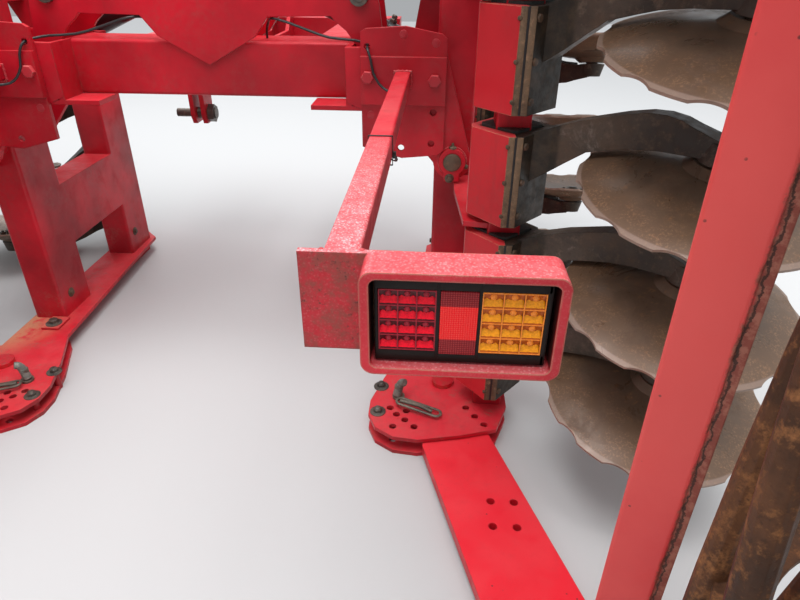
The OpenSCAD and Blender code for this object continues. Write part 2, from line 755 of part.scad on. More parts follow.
// The plate bolted on an ear, the pad on it, the long arm and the plate that carries the lamp
module lamp_bracket() {
  plate_x0 = hinge_x - 253;
  plate_x1 = hinge_x - 26;
  color(red) {
    plate_y(mount_y - seat, mount_t) difference() {
      polygon([[plate_x0, hinge_z + 38], [plate_x0, hinge_z + 335], [plate_x0 + 14, hinge_z + 343],
        [plate_x0 + 118, hinge_z + 350], [plate_x1 - 14, hinge_z + 332], [plate_x1, hinge_z + 320],
        [plate_x1, hinge_z + 32], [plate_x1 - 16, hinge_z + 18], [plate_x0 + 110, hinge_z + 8]]);
      for (p = [[-32, 135], [-35, 50], [-119, 37]])
        translate([plate_x1 + p[0], hinge_z + p[1]]) circle(d = 18);
      translate([plate_x0 + 18, hinge_z + 300]) circle(d = 16);
    }
    translate([plate_x0, pad_y - seat, hinge_z + 155]) cube([plate_x1 - plate_x0, mount_t + 0.5, 122]);
    translate([lamp_arm_x, pad_y, lamp_z]) rotate([90, 0, 0]) linear_extrude(lamp_arm_len)
      section(lamp_arm_s, lamp_arm_s, 5);
    translate([lamp_arm_x - 46, lamp_end_y - 8, lamp_z - 100]) cube([110, 9, lamp_h]);
  }
}

module lamp_box() {
  x0 = lamp_arm_x + 24;
  z0 = lamp_z - 96;
  y1 = lamp_end_y - 8 - seat;
  color(red) translate([x0 + lamp_w / 2, y1, z0 + lamp_h / 2]) rotate([90, 0, 0]) difference() {
    linear_extrude(lamp_l) section(lamp_w, lamp_h, 14);
    translate([0, 0, lamp_t]) linear_extrude(lamp_l)
      section(lamp_w - 2 * lamp_t - 8, lamp_h - 2 * lamp_t - 4, 8);
  }
  color("#c8202c") translate([x0 + lamp_w / 2, y1 - lamp_t + 0.5, z0 + lamp_h / 2]) rotate([90, 0, 0])
    linear_extrude(lamp_l - 22) section(lamp_w - 38, lamp_h - 30, 4);
}

// The route of a lead with a place added halfway along each short stretch
function lead_mid(p, i) = (9 * (p[i] + p[i + 1]) - p[i - 1] - p[i + 2]) / 16;
function lead_bends(p, i) = i > 0 && i < len(p) - 2 && norm(p[i + 1] - p[i - 1]) < 150
  && norm(p[i + 2] - p[i]) < 150;
function lead_route(p) = [for (i = [0 : len(p) - 1])
  each lead_bends(p, i) ? [p[i], lead_mid(p, i)] : [p[i]]];
function unit(v) = v / norm(v);
function way(p, i) = unit(p[min(i + 1, len(p) - 1)] - p[max(i - 1, 0)]);

// One round section of a lead, square to its route
function lead_ring(p, i) = let(t = way(p, i), u = unit(cross(t, [1, 0.8, 0.5])), v = cross(t, u))
  [for (j = [0 : lead_sides - 1])
    p[i] + lead_d / 2 * (cos(j * 360 / lead_sides) * u + sin(j * 360 / lead_sides) * v)];

module lamp_lead() {
  route = lead_route(lead_points);
  last = (len(route) - 1) * lead_sides;
  skin = [for (i = [0 : len(route) - 2], j = [0 : lead_sides - 1])
    let(a = i * lead_sides, k = (j + 1) % lead_sides)
    [a + j, a + lead_sides + j, a + lead_sides + k, a + k]];
  color(black) polyhedron([for (i = [0 : len(route) - 1]) each lead_ring(route, i)],
    concat([[for (j = [0 : lead_sides - 1]) j]], skin, [[for (j = [lead_sides - 1 : -1 : 0]) last + j]]));
}

centre_beam();
headstock();
link_pins();
hinge_pins();
for (s = side_names) {
  on_side(s) lamp_bracket();
  on_side(s) lamp_box();
  on_side(s) lamp_lead();
  on_side(s) wing_frame();
  on_side(s) disc_beams();
  on_side(s) disc_arms();
  on_side(s) clamp_caps();
  on_side(s) clamp_rubbers();
  on_side(s) wing_pins();
  on_side(s) roller_frame();
  on_side(s) roller();
  on_side(s) cylinder_barrel();
  on_side(s) cylinder_rod();
  for (r = [0, 1], k = [1 : 7])
    on_side(s) at_clamp(rows[r], k - 1) disc();
}
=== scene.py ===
import bpy
import bmesh
import json
import math
from mathutils import Matrix, Vector


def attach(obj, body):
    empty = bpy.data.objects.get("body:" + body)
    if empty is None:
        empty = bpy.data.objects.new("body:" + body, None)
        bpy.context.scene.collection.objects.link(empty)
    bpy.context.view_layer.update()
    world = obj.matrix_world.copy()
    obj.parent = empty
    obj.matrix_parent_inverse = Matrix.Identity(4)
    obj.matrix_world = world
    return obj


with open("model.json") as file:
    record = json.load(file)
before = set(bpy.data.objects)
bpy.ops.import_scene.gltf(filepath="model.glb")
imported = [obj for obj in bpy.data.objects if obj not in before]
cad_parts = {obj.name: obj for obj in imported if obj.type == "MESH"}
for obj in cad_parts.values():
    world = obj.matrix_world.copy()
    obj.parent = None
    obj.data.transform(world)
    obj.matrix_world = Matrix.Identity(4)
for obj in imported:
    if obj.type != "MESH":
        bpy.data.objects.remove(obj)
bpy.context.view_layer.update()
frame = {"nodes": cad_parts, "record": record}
nodes = frame["nodes"]
SIDES = (("right", 1), ("left", -1))

# Clamp rows: name, place along the machine, height of the first clamp and the way the arms step
ROWS = (("rear", -0.014, 0.232, 1), ("front", 1.136, 0.196, -1))
DISCS = 7
PITCH = 0.257
BEAM_X = 0.823
CLAMP_HALF = 0.104

# A spindle's eye: out from its beam, back from it and stepped along it, with the tilt of its disc
EYE_OUT, EYE_BACK, EYE_STEP = 0.372, 0.25, 0.130
DISC_TILT = math.radians(12)

# Axis of a hinge pin, then the knuckle plates' outer faces and the way that each one looks
HINGE_X, HINGE_Z = 0.696, 0.686
KNUCKLES = ((0.060, 1), (1.930, -1))

# The square arm that carries a lamp, the plate at its end and the lamp's own middle
ARM_IN, ARM_OUT, ARM_LOW, ARM_TOP = 0.5335, 0.5765, 0.888, 0.9285
ARM_SEAT_Y, ARM_END_Y = 0.2262, -0.8735
LAMP_X, LAMP_Z, LAMP_Y = 0.682, 0.872, -0.9158


# Camera at the place where the photograph was taken
def look(place, pitch, yaw, roll, focal_px):
    """Sets the camera from its place, three angles in degrees and its focal length in pixels."""
    p, y, r = (math.radians(v) for v in (pitch, yaw, roll))
    fw = Vector((-math.sin(y) * math.cos(p), math.cos(y) * math.cos(p), -math.sin(p)))
    x = Vector((math.cos(y), math.sin(y), 0))
    d = fw.cross(x)
    right = math.cos(r) * x - math.sin(r) * d
    down = fw.cross(right)
    m = Matrix((right, -down, -fw)).transposed().to_4x4()
    m.translation = Vector(place)
    cam = bpy.data.cameras.new("photo_camera")
    cam.sensor_width = 36
    cam.lens = focal_px / 800 * 36
    cam.clip_start = 0.02
    ob = bpy.data.objects.new("photo_camera", cam)
    bpy.context.collection.objects.link(ob)
    ob.matrix_world = m
    bpy.context.scene.camera = ob


look((0.650, -1.442, 1.196), 29.855, 3.3496, 0.4409, 603.33)


# Materials, all made from noise, cells and the surface's own place and slope
class Mat:
    """A node material under construction."""

    def __init__(self, name):
        self.m = bpy.data.materials.new(name)
        self.m.use_nodes = True
        self.t = self.m.node_tree
        self.p = self.t.nodes["Principled BSDF"]
        self.co = self.node("ShaderNodeTexCoord").outputs["Object"]

    def node(self, kind, **props):
        n = self.t.nodes.new(kind)
        for k, v in props.items():
            setattr(n, k, v)
        return n

    def put(self, socket, value):
        if hasattr(value, "is_output"):
            self.t.links.new(value, socket)
        else:
            socket.default_value = value

    def scaled(self, xyz):
        n = self.node("ShaderNodeMapping")
        self.put(n.inputs["Vector"], self.co)
        n.inputs["Scale"].default_value = xyz
        return n.outputs["Vector"]

    def noise(self, scale, detail=4.0, rough=0.55, vec=None, distort=0.0):
        n = self.node("ShaderNodeTexNoise")
        self.put(n.inputs["Vector"], vec or self.co)
        n.inputs["Scale"].default_value = scale
        n.inputs["Detail"].default_value = detail
        n.inputs["Roughness"].default_value = rough
        n.inputs["Distortion"].default_value = distort
        return n.outputs["Fac"]

    def cells(self, scale, vec=None):
        n = self.node("ShaderNodeTexVoronoi")
        self.put(n.inputs["Vector"], vec or self.co)
        n.inputs["Scale"].default_value = scale
        return n.outputs["Distance"]

    def step(self, value, low, high, to_low=0.0, to_high=1.0):
        """A smooth step of the value from low to high, given as a number between the last two."""
        n = self.node("ShaderNodeMapRange", interpolation_type="SMOOTHSTEP")
        self.put(n.inputs["Value"], value)
        for name, v in (("From Min", low), ("From Max", high), ("To Min", to_low), ("To Max", to_high)):
            n.inputs[name].default_value = v
        return n.outputs["Result"]

    def math(self, op, a, b=0.0, clamp=None):
        clamp = op in ("ADD", "MULTIPLY") if clamp is None else clamp
        n = self.node("ShaderNodeMath", operation=op, use_clamp=clamp)
        self.put(n.inputs[0], a)
        self.put(n.inputs[1], b)
        return n.outputs[0]

    def both(self, *values):
        """The product of masks and numbers."""
        out = values[0]
        for v in values[1:]:
            out = self.math("MULTIPLY", out, v)
        return out

    def mix(self, fac, a, b):
        n = self.node("ShaderNodeMix", data_type="RGBA")
        self.put(n.inputs["Factor"], fac)
        for socket, v in ((n.inputs[6], a), (n.inputs[7], b)):
            self.put(socket, v if hasattr(v, "is_output") else (*v, 1))
        return n.outputs[2]

    def split(self, vector):
        n = self.node("ShaderNodeSeparateXYZ")
        self.put(n.inputs[0], vector)
        return n.outputs

    def up(self):
        """How far a face looks up, from -1 to 1."""
        return self.split(self.node("ShaderNodeNewGeometry").outputs["True Normal"])["Z"]

    def near(self, place, reach, fade):
        """One within reach of a place, and nothing beyond the fade."""
        n = self.node("ShaderNodeVectorMath", operation="DISTANCE")
        self.put(n.inputs[0], self.co)
        n.inputs[1].default_value = place
        return self.step(n.outputs["Value"], fade, reach)

    def edges(self, radius):
        """A mask of outer edges, and a normal that rounds them."""
        b = self.node("ShaderNodeBevel", samples=4)
        b.inputs["Radius"].default_value = radius
        g = self.node("ShaderNodeNewGeometry")
        d = self.node("ShaderNodeVectorMath", operation="DOT_PRODUCT")
        self.put(d.inputs[0], b.outputs["Normal"])
        self.put(d.inputs[1], g.outputs["Normal"])
        return self.step(d.outputs["Value"], 0.98, 0.80), b.outputs["Normal"]

    def bump(self, height, strength, distance=0.001, normal=None):
        n = self.node("ShaderNodeBump")
        n.inputs["Strength"].default_value = strength
        n.inputs["Distance"].default_value = distance
        self.put(n.inputs["Height"], height)
        if normal is not None:
            self.put(n.inputs["Normal"], normal)
        return n.outputs["Normal"]

    def finish(self, color, rough, normal=None, metallic=0.0, **sockets):
        self.put(self.p.inputs["Base Color"], color)
        self.put(self.p.inputs["Roughness"], rough)
        self.put(self.p.inputs["Metallic"], metallic)
        if normal is not None:
            self.put(self.p.inputs["Normal"], normal)
        for k, v in sockets.items():
            self.p.inputs[k.replace("_", " ")].default_value = v
        return self.m


def speckle_and_sheen(k, color, where):
    """Fine pale spray dirt with dark grains, as wet dust dries on a cold tube, over a painted pale sheen that
    stands for the wet paint's reflection of the sky.
    """
    clumps = k.step(k.noise(38, 6, 0.75), 0.30, 0.62, 0.35, 1.0)
    fine = k.step(k.cells(300, k.scaled((1, 0.8, 1))), 0.42, 0.30)
    # Painted sheen: a pale pink veil in clumps where the mask allows, standing for the sky's reflection on
    # wet paint
    sheen_veil = k.step(k.noise(150, 7, 0.8), 0.36, 0.60, 0.25, 1.0)
    color = k.mix(k.both(where, sheen_veil, clumps, 0.62), color, (0.84, 0.36, 0.38))
    color = k.mix(k.both(where, fine, clumps, 0.55), color, (0.92, 0.60, 0.60))
    grain = k.both(k.step(k.cells(360), 0.24, 0.14), k.step(k.noise(60, 4), 0.36, 0.52))
    return k.mix(k.both(where, grain, 0.9), color, (0.30, 0.020, 0.030))


def lamp_dirt(k, color):
    """Spray dirt and a painted pale sheen on the faces that look up, growing along a lamp's arm toward its
    end, and a brown film on the plate at its end.
    """
    y = k.split(k.co)["Y"]
    near = k.step(y, -0.40, -0.46)
    dirt_and_sheen_ramp = k.step(y, -0.44, -0.80, 0.35, 1.0)
    # Spray dirt with painted sheen, only on faces that look up and stronger toward the arm's end
    color = speckle_and_sheen(k, color, k.both(near, dirt_and_sheen_ramp, k.step(k.up(), 0.2, 0.8, 0.10, 1.0)))
    plate = k.step(y, -0.872, -0.874)
    brown = k.both(plate, k.step(k.noise(40, 7, 0.75), 0.38, 0.62), k.step(k.up(), 0.8, 0.2))
    color = k.mix(k.both(brown, 0.7), color, (0.17, 0.062, 0.042))
    dark = k.both(near, k.step(k.noise(210, 5, 0.75), 0.57, 0.62), k.step(k.noise(24, 4), 0.42, 0.58))
    return k.mix(k.both(dark, 0.75), color, (0.07, 0.028, 0.020))


def box_dirt(k, color):
    """Spray dirt and a painted pale sheen on what faces up on a lamp's box, and painted shade on the inner
    walls of its rim that do not look up.
    """
    color = speckle_and_sheen(k, color, k.step(k.up(), 0.2, 0.9, 0.06, 0.45))
    # Painted shade: the inner walls of the box's rim that do not look up are darkened nearly to black
    s = k.split(k.co)
    dx = k.math("ABSOLUTE", k.math("SUBTRACT", k.math("ABSOLUTE", s["X"]), LAMP_X))
    dz = k.math("ABSOLUTE", k.math("SUBTRACT", s["Z"], LAMP_Z))
    shaded_rim_walls = k.both(k.step(dx, 0.0990, 0.0970), k.step(dz, 0.0560, 0.0545))
    shaded_rim_walls = k.both(shaded_rim_walls, k.step(s["Y"], -0.9318, -0.9250))
    return k.mix(k.both(shaded_rim_walls, k.step(k.up(), 0.5, 0.1, 0.15, 0.95)), color, (0.030, 0.010, 0.008))


def cross_edge(k, color):
    """A paler cross tube, with rust along the strip that is welded down its right edge."""
    s = k.split(k.co)
    tube = k.both(k.step(s["Z"], 0.048, 0.050), k.step(s["Z"], 1.942, 1.940))
    pink = k.mix(k.step(k.noise(3, 6), 0.35, 0.65), (0.74, 0.066, 0.066), (0.80, 0.092, 0.084))
    color = k.mix(tube, color, pink)
    across = k.math("MULTIPLY", k.math("ABSOLUTE", s["X"]), 0.883, False)
    across = k.math("SUBTRACT", across, k.math("MULTIPLY", s["Y"], 0.469, False))
    across = k.math("SUBTRACT", across, 1.2445)
    long = k.both(k.step(s["Z"], 0.06, 0.07), k.step(s["Z"], 1.93, 1.92))
    wavy = k.math("ADD", across, k.step(k.noise(34, 6, 0.7), 0.3, 0.7, -0.0035, 0.0035), False)
    rust = k.both(k.step(wavy, 0.0365, 0.0415), k.step(wavy, 0.062, 0.060), long)
    browns = k.mix(k.step(k.noise(60, 7, 0.7), 0.42, 0.60), (0.20, 0.060, 0.038), (0.34, 0.145, 0.095))
    color = k.mix(k.both(rust, 0.88), color, browns)
    line = k.both(k.step(k.math("ABSOLUTE", k.math("SUBTRACT", wavy, 0.044)), 0.0022, 0.0010), long)
    color = k.mix(k.both(line, 0.9), color, (0.045, 0.016, 0.010))
    spots = k.both(k.step(k.cells(38), 0.10, 0.045), k.step(k.noise(19, 3), 0.52, 0.60))
    return k.mix(k.both(spots, 0.8), color, (0.08, 0.03, 0.02))


def base_dust(k, color):
    """Dry soil on the left wing's lower plate, and rain marks on both."""
    low = k.step(k.split(k.co)["Z"], 0.30, 0.07)
    patch = k.both(k.near((-0.86, 0.26, 0.06), 0.10, 0.27), k.step(k.up(), 0.4, 0.9), low)
    patch = k.both(patch, k.step(k.noise(26, 7, 0.68), 0.30, 0.55))
    color = k.mix(k.both(patch, 0.85), color, (0.56, 0.25, 0.13))
    splash = k.both(low, k.step(k.noise(16, 7, 0.7), 0.50, 0.66), k.step(k.noise(120, 5, 0.7), 0.40, 0.62))
    return k.mix(k.both(splash, 0.45), color, (0.30, 0.13, 0.10))


def paint(name, base, faded, grime=0.3, speck=0.3, dust=0.15, wear=0.6,
          worn=(0.16, 0.075, 0.05), extra=None, side_shade=0.55, rub=0.46):
    """Red machine paint: fading, road film, fine specks, dust on what faces up, painted shade on the faces
    that do not look up, and worn edges.
    """
    k = Mat(name)
    edge, soft = k.edges(0.0035)
    color = k.mix(k.step(k.noise(2.2, 5), 0.35, 0.68), base, faded)
    # Painted shade: faces that do not look up take a darker share of the base colour, as if less lit from
    # above
    shaded_sides = tuple(c * side_shade for c in base)
    color = k.mix(k.step(k.up(), 0.75, 0.15), color, k.mix(k.step(k.noise(3.1, 5), 0.3, 0.7), shaded_sides, base))
    cloudy = k.noise(14, 7, 0.62, distort=0.4)
    color = k.mix(k.step(cloudy, 0.50, 0.72, 0, 0.5 * grime), color, tuple(c * 0.45 for c in base))
    streak = k.noise(30, 5, 0.6, k.scaled((1, 1, 0.12)))
    color = k.mix(k.step(streak, 0.52, 0.75, 0, 0.45 * grime), color, (0.11, 0.035, 0.03))
    film = k.both(k.step(k.noise(5, 6, 0.6), 0.42, 0.72), k.step(k.noise(70, 6, 0.7), 0.35, 0.75))
    color = k.mix(k.both(film, grime), color, (0.20, 0.085, 0.07))
    dusty = k.both(k.step(k.up(), 0.25, 0.95), k.step(k.noise(9, 8, 0.68), 0.30, 0.80))
    color = k.mix(k.both(dusty, dust), color, (0.50, 0.27, 0.23))
    dots = k.both(k.step(k.cells(420), 0.20, 0.10), k.step(k.noise(11, 4), 0.40, 0.66))
    color = k.mix(k.both(dots, speck), color, (0.09, 0.045, 0.035))
    pale = k.step(k.cells(300, k.scaled((1.3, 1.1, 0.9))), 0.16, 0.08)
    pale = k.both(pale, k.step(k.noise(17, 4), 0.52, 0.70))
    color = k.mix(k.both(pale, speck * 0.7), color, (0.60, 0.33, 0.30))
    if extra:
        color = extra(k, color)
    chip = k.both(edge, k.step(k.noise(55, 8, 0.75), rub, rub + 0.14), wear)
    color = k.mix(chip, color, worn)
    r = k.math("ADD", k.step(cloudy, 0.4, 0.75, 0.34, 0.58), k.both(dusty, 0.35))
    bumps = k.math("SUBTRACT", k.both(k.noise(240, 3), 0.35), k.both(chip, 0.6))
    return k.finish(color, r, k.bump(bumps, 0.35, 0.0006, soft), Coat_Weight=0.05, Coat_Roughness=0.2,
                    Specular_IOR_Level=0.28)


def rusty(name, dark, mid, light, rough=0.55, metallic=0.35, scale=1.0, shine=0.5, extra=None):
    """Bare or rusting steel in three tones, with pits."""
    k = Mat(name)
    soft = k.edges(0.003)[1]
    a = k.noise(6 * scale, 8, 0.65, distort=0.5)
    b = k.noise(45 * scale, 8, 0.7)
    color = k.mix(k.step(a, 0.35, 0.65), dark, mid)
    color = k.mix(k.step(b, 0.48, 0.72, 0, 0.85), color, light)
    color = k.mix(k.step(k.noise(160 * scale, 4), 0.55, 0.75, 0, 0.6), color, dark)
    if extra:
        color = extra(k, color)
    pit = k.step(k.cells(190 * scale), 0.05, 0.35)
    r = k.step(b, 0.35, 0.7, rough - 0.12, rough + 0.15)
    n = k.bump(k.math("ADD", k.both(pit, 0.4), k.both(b, 0.6)), 0.5, 0.0009, soft)
    return k.finish(color, r, n, metallic, Specular_IOR_Level=shine)


RED, FADED = (0.62, 0.006, 0.021), (0.66, 0.014, 0.032)
DULL, DULL_FADED = (0.59, 0.008, 0.022), (0.65, 0.018, 0.035)


def pivot_paint(k, color):
    """The pivot pins' collars carry the wing's paint."""
    s = k.split(k.co)
    dx = k.math("SUBTRACT", k.math("ABSOLUTE", s["X"]), 0.695)
    dy = k.math("SUBTRACT", s["Y"], 0.038)
    dx2, dy2 = (k.math("MULTIPLY", d, d, False) for d in (dx, dy))
    far = k.math("SQRT", k.math("ADD", dx2, dy2, False))
    reds = k.mix(k.step(k.noise(60, 5), 0.4, 0.7), DULL, (0.44, 0.05, 0.04))
    return k.mix(k.step(far, 0.036, 0.034), color, reds)


def arm_marks(k, color):
    """Pale dried splashes and dull brown patches on the forged arms."""
    splash = k.step(k.noise(17, 7, 0.68, distort=0.7), 0.56, 0.68)
    splash = k.both(splash, k.step(k.noise(90, 5, 0.7), 0.36, 0.56))
    color = k.mix(k.both(splash, 0.55), color, (0.21, 0.165, 0.135))
    brown = k.step(k.noise(8, 6, 0.6), 0.52, 0.70, 0, 0.6)
    color = k.mix(brown, color, (0.090, 0.052, 0.030))
    s = k.split(k.co)
    off_beam = k.math("ABSOLUTE", k.math("SUBTRACT", k.math("ABSOLUTE", s["X"]), BEAM_X))
    clamp = k.step(off_beam, 0.100, 0.090)
    rough = k.mix(k.step(k.noise(20, 7, 0.7), 0.40, 0.66), (0.016, 0.013, 0.009), (0.050, 0.033, 0.019))
    return k.mix(k.both(clamp, 0.9), color, rough)


def discs():
    """Tilled steel: dark and wet by the hub, rust-stained and speckled toward the rim."""
    k = Mat("disc_steel")
    g = k.split(k.node("ShaderNodeTexCoord").outputs["Generated"])
    c = k.node("ShaderNodeCombineXYZ")
    k.put(c.inputs[0], k.math("SUBTRACT", g["X"], 0.5))
    k.put(c.inputs[1], k.math("SUBTRACT", g["Y"], 0.5))
    ln = k.node("ShaderNodeVectorMath", operation="LENGTH")
    k.put(ln.inputs[0], c.outputs[0])
    radial = k.math("ADD", ln.outputs["Value"], k.step(k.noise(7, 5, 0.6), 0.3, 0.7, -0.07, 0.07), False)
    a = k.noise(9, 8, 0.62, distort=0.8)
    b = k.noise(60, 8, 0.7)
    color = k.mix(k.step(a, 0.34, 0.66), (0.115, 0.076, 0.052), (0.180, 0.116, 0.078))
    outer = k.step(radial, 0.22, 0.40)
    color = k.mix(k.both(outer, 0.75), color, (0.165, 0.094, 0.054))
    fine = k.both(outer, k.step(k.noise(210, 4, 0.75), 0.50, 0.62), k.step(k.noise(30, 4), 0.36, 0.60))
    color = k.mix(k.both(fine, 0.55), color, (0.40, 0.225, 0.120))
    color = k.mix(k.both(k.step(b, 0.54, 0.74), 0.5), color, (0.30, 0.145, 0.065))
    soil = k.both(k.step(k.noise(4.5, 7, 0.65), 0.52, 0.66), k.step(b, 0.35, 0.6))
    color = k.mix(k.both(soil, 0.7), color, (0.13, 0.082, 0.058))
    bloom = k.both(k.step(radial, 0.30, 0.20), k.step(k.noise(11, 7, 0.7, distort=1.2), 0.58, 0.68))
    color = k.mix(k.both(bloom, 0.7), color, (0.40, 0.20, 0.085))
    rim = k.step(ln.outputs["Value"], 0.482, 0.490)
    color = k.mix(k.both(rim, 0.6), color, (0.36, 0.26, 0.21))
    r = k.math("ADD", k.step(a, 0.3, 0.7, 0.24, 0.44), k.both(soil, 0.35))
    n = k.bump(k.math("ADD", k.both(b, 0.5), k.both(a, 0.3)), 0.35, 0.0012)
    return k.finish(color, r, n, 0.1, Coat_Weight=0.10, Coat_Roughness=0.18, Specular_IOR_Level=0.35)


def plain(name, color, rough, metallic=0.0, grain=200.0, depth=0.15, **extra):
    """A plain material with slight unevenness."""
    k = Mat(name)
    n = k.noise(grain, 5, 0.65)
    c = k.mix(k.step(k.noise(grain / 12, 6), 0.35, 0.7), color, tuple(v * 0.72 for v in color))
    r = k.step(n, 0.3, 0.7, rough - 0.06, rough + 0.12)
    return k.finish(c, r, k.bump(n, depth, 0.0005), metallic, **extra)


PALE_WORN = (0.62, 0.36, 0.30)
# Some looks below set how dark the painted shade is on their faces that do not look up
LOOKS = {
    "frame_red": paint("frame_red", RED, FADED, 0.28, 0.2),
    "headstock_red": paint("headstock_red", RED, FADED, 0.35, 0.25),
    "bracket_red": paint("bracket_red", RED, FADED, 0.35, 0.45, 0.2, extra=lamp_dirt, side_shade=0.50),
    "lamp_red": paint("lamp_red", (0.62, 0.016, 0.030), (0.66, 0.030, 0.046), 0.35, 0.5, 0.2, 1.0,
                      worn=(0.52, 0.25, 0.17), extra=box_dirt, side_shade=0.34, rub=0.34),
    "wing_paint": paint("wing_paint", DULL, DULL_FADED, 0.35, 0.25, extra=base_dust, side_shade=0.42),
    "beam_paint": paint("beam_paint", DULL, DULL_FADED, 0.7, 0.3, side_shade=0.42),
    "cap_red": paint("cap_red", (0.60, 0.022, 0.031), (0.64, 0.042, 0.048), 0.35, 0.35, 0.2, 1.0,
                     worn=(0.60, 0.29, 0.17), side_shade=0.80, rub=0.38),
    "roller_frame_red": paint("roller_frame_red", (0.74, 0.012, 0.026), (0.78, 0.022, 0.038), 0.12, 0.45,
                              0.06, extra=cross_edge),
    "arm_iron": rusty("arm_iron", (0.038, 0.027, 0.020), (0.078, 0.055, 0.040), (0.15, 0.105, 0.075),
                      0.5, 0.05, shine=0.3, extra=arm_marks),
    "roller_rust": rusty("roller_rust", (0.040, 0.015, 0.006), (0.125, 0.046, 0.016), (0.34, 0.14, 0.050),
                         0.6, 0.05, shine=0.3),
    "disc_steel": discs(),
    "pin_steel": rusty("pin_steel", (0.07, 0.06, 0.055), (0.16, 0.14, 0.12), (0.24, 0.17, 0.12), 0.4, 0.7),
    "hinge_steel": rusty("hinge_steel", (0.07, 0.050, 0.036), (0.16, 0.115, 0.075), (0.26, 0.16, 0.09),
                         0.45, 0.5),
    "wing_pin_steel": rusty("wing_pin_steel", (0.06, 0.05, 0.04), (0.15, 0.13, 0.10), (0.26, 0.20, 0.14),
                            0.45, 0.3, extra=pivot_paint),
    "cord_rubber": plain("cord_rubber", (0.030, 0.036, 0.033), 0.6, depth=0.3),
    "barrel_paint": plain("barrel_paint", (0.022, 0.022, 0.024), 0.35, Coat_Weight=0.3),
    "rod_chrome": plain("rod_chrome", (0.62, 0.62, 0.63), 0.14, 1.0, depth=0.03),
    "lead_rubber": plain("lead_rubber", (0.014, 0.014, 0.015), 0.45, depth=0.2),
}
for entry in frame["record"]["subparts"]:
    ob = nodes[entry["node"]]
    ob.data.materials.clear()
    ob.data.materials.append(LOOKS[entry["material_slot"]])


# Mesh building
def axes(axis):
    """A turn that takes Z to the axis."""
    z = Vector(axis).normalized()
    x = z.orthogonal().normalized()
    return Matrix((x, z.cross(x), z)).transposed()


def lathe(bm, place, axis, profile, n=24, phase=0.0):
    """Profile of (radius, height) turned about the axis. A zero radius closes an end."""
    m = axes(axis)
    p0 = Vector(place)
    rings = []
    for r, h in profile:
        if r < 1e-6:
            rings.append([bm.verts.new(p0 + m @ Vector((0, 0, h)))])
            continue
        angles = [phase + 2 * math.pi * i / n for i in range(n)]
        spots = [Vector((r * math.cos(t), r * math.sin(t), h)) for t in angles]
        rings.append([bm.verts.new(p0 + m @ spot) for spot in spots])
    for a, b in zip(rings, rings[1:]):
        for i in range(n):
            j = (i + 1) % n
            if len(a) == 1 and len(b) > 1:
                bm.faces.new((a[0], b[j], b[i]))
            elif len(b) == 1 and len(a) > 1:
                bm.faces.new((a[i], a[j], b[0]))
            elif len(a) > 1:
                bm.faces.new((a[i], a[j], b[j], b[i]))


def hexbolt(bm, place, axis, af, head, washer=True, turn=0.2):
    """A bolt head with its chamfer and washer, standing on the face at place."""
    w = 0.0
    if washer:
        w = af * 0.11
        ring = [(0, -0.001), (af * 1.02, -0.001), (af * 1.02, w * 0.8), (af * 0.97, w), (0, w)]
        lathe(bm, place, axis, ring, 28)
    c = af / 2 / math.cos(math.pi / 6)
    top = w + head
    crown = top + af * 0.01
    side = [(c, w - 0.0005), (c, top - af * 0.07), (c * 0.90, top), (c * 0.55, crown), (0, crown)]
    lathe(bm, place, axis, side, 6, turn)


def nut_end(bm, place, axis, af, height, stud, turn=0.1):
    """A nut with the end of its stud."""
    c = af / 2 / math.cos(math.pi / 6)
    r = af * 0.30
    end = height + stud
    nut = [(c, -0.0005), (c, height - af * 0.06), (c * 0.9, height), (r, height)]
    lathe(bm, place, axis, nut + [(r, end), (af * 0.22, end + 0.002), (0, end + 0.002)], 6, turn)


def sweep(bm, points, radius, n=10, closed=False, flat=1.0):
    """A bar along points. Its radius is a number, or a function of the place along it."""
    pts = [Vector(p) for p in points]
    rings = []
    up = Vector((0.13, 0.27, 0.95)).normalized()
    for i, p in enumerate(pts):
        a = pts[(i - 1) % len(pts)] if closed or i else pts[0]
        b = pts[(i + 1) % len(pts)] if closed or i < len(pts) - 1 else pts[-1]
        t = (b - a).normalized()
        x = up.cross(t)
        x = x.normalized() if x.length > 0.05 else t.orthogonal().normalized()
        y = t.cross(x)
        up = y
        r = radius(i / max(1, len(pts) - 1)) if callable(radius) else radius
        turns = [2 * math.pi * k / n for k in range(n)]
        rings.append([bm.verts.new(p + r * (math.cos(t) * x + flat * math.sin(t) * y)) for t in turns])
    pairs = list(zip(rings, rings[1:])) + ([(rings[-1], rings[0])] if closed else [])
    for a, b in pairs:
        for k in range(n):
            bm.faces.new((a[k], a[(k + 1) % n], b[(k + 1) % n], b[k]))
    if not closed:
        bm.faces.new(rings[0][::-1])
        bm.faces.new(rings[-1])


def smooth_line(points, step=0.01):
    """Points of a smooth curve through the given ones."""
    pts = [Vector(p) for p in points]
    pts = [2 * pts[0] - pts[1], *pts, 2 * pts[-1] - pts[-2]]
    out = []
    for i in range(1, len(pts) - 2):
        a, b, c, d = pts[i - 1:i + 3]
        steps = max(2, int((c - b).length / step))
        for s in range(steps):
            t = s / steps
            bend = (2 * a - 5 * b + 4 * c - d) * t * t + (3 * b - a - 3 * c + d) * t ** 3
            out.append(0.5 * ((2 * b) + (c - a) * t + bend))
    out.append(pts[-2])
    return out


def weld(bm, points, r=0.004, step=0.0035):
    """A rippled bead along straight runs between the points."""
    line = []
    pts = [Vector(p) for p in points]
    for a, b in zip(pts, pts[1:]):
        count = max(2, int((b - a).length / step))
        line += [a.lerp(b, i / count) for i in range(count)]
    line.append(pts[-1])
    n = len(line)
    sweep(bm, line, lambda t: r * (0.86 + 0.2 * math.sin(t * n * 1.9) + 0.06 * math.sin(t * n * 0.37)), 8)


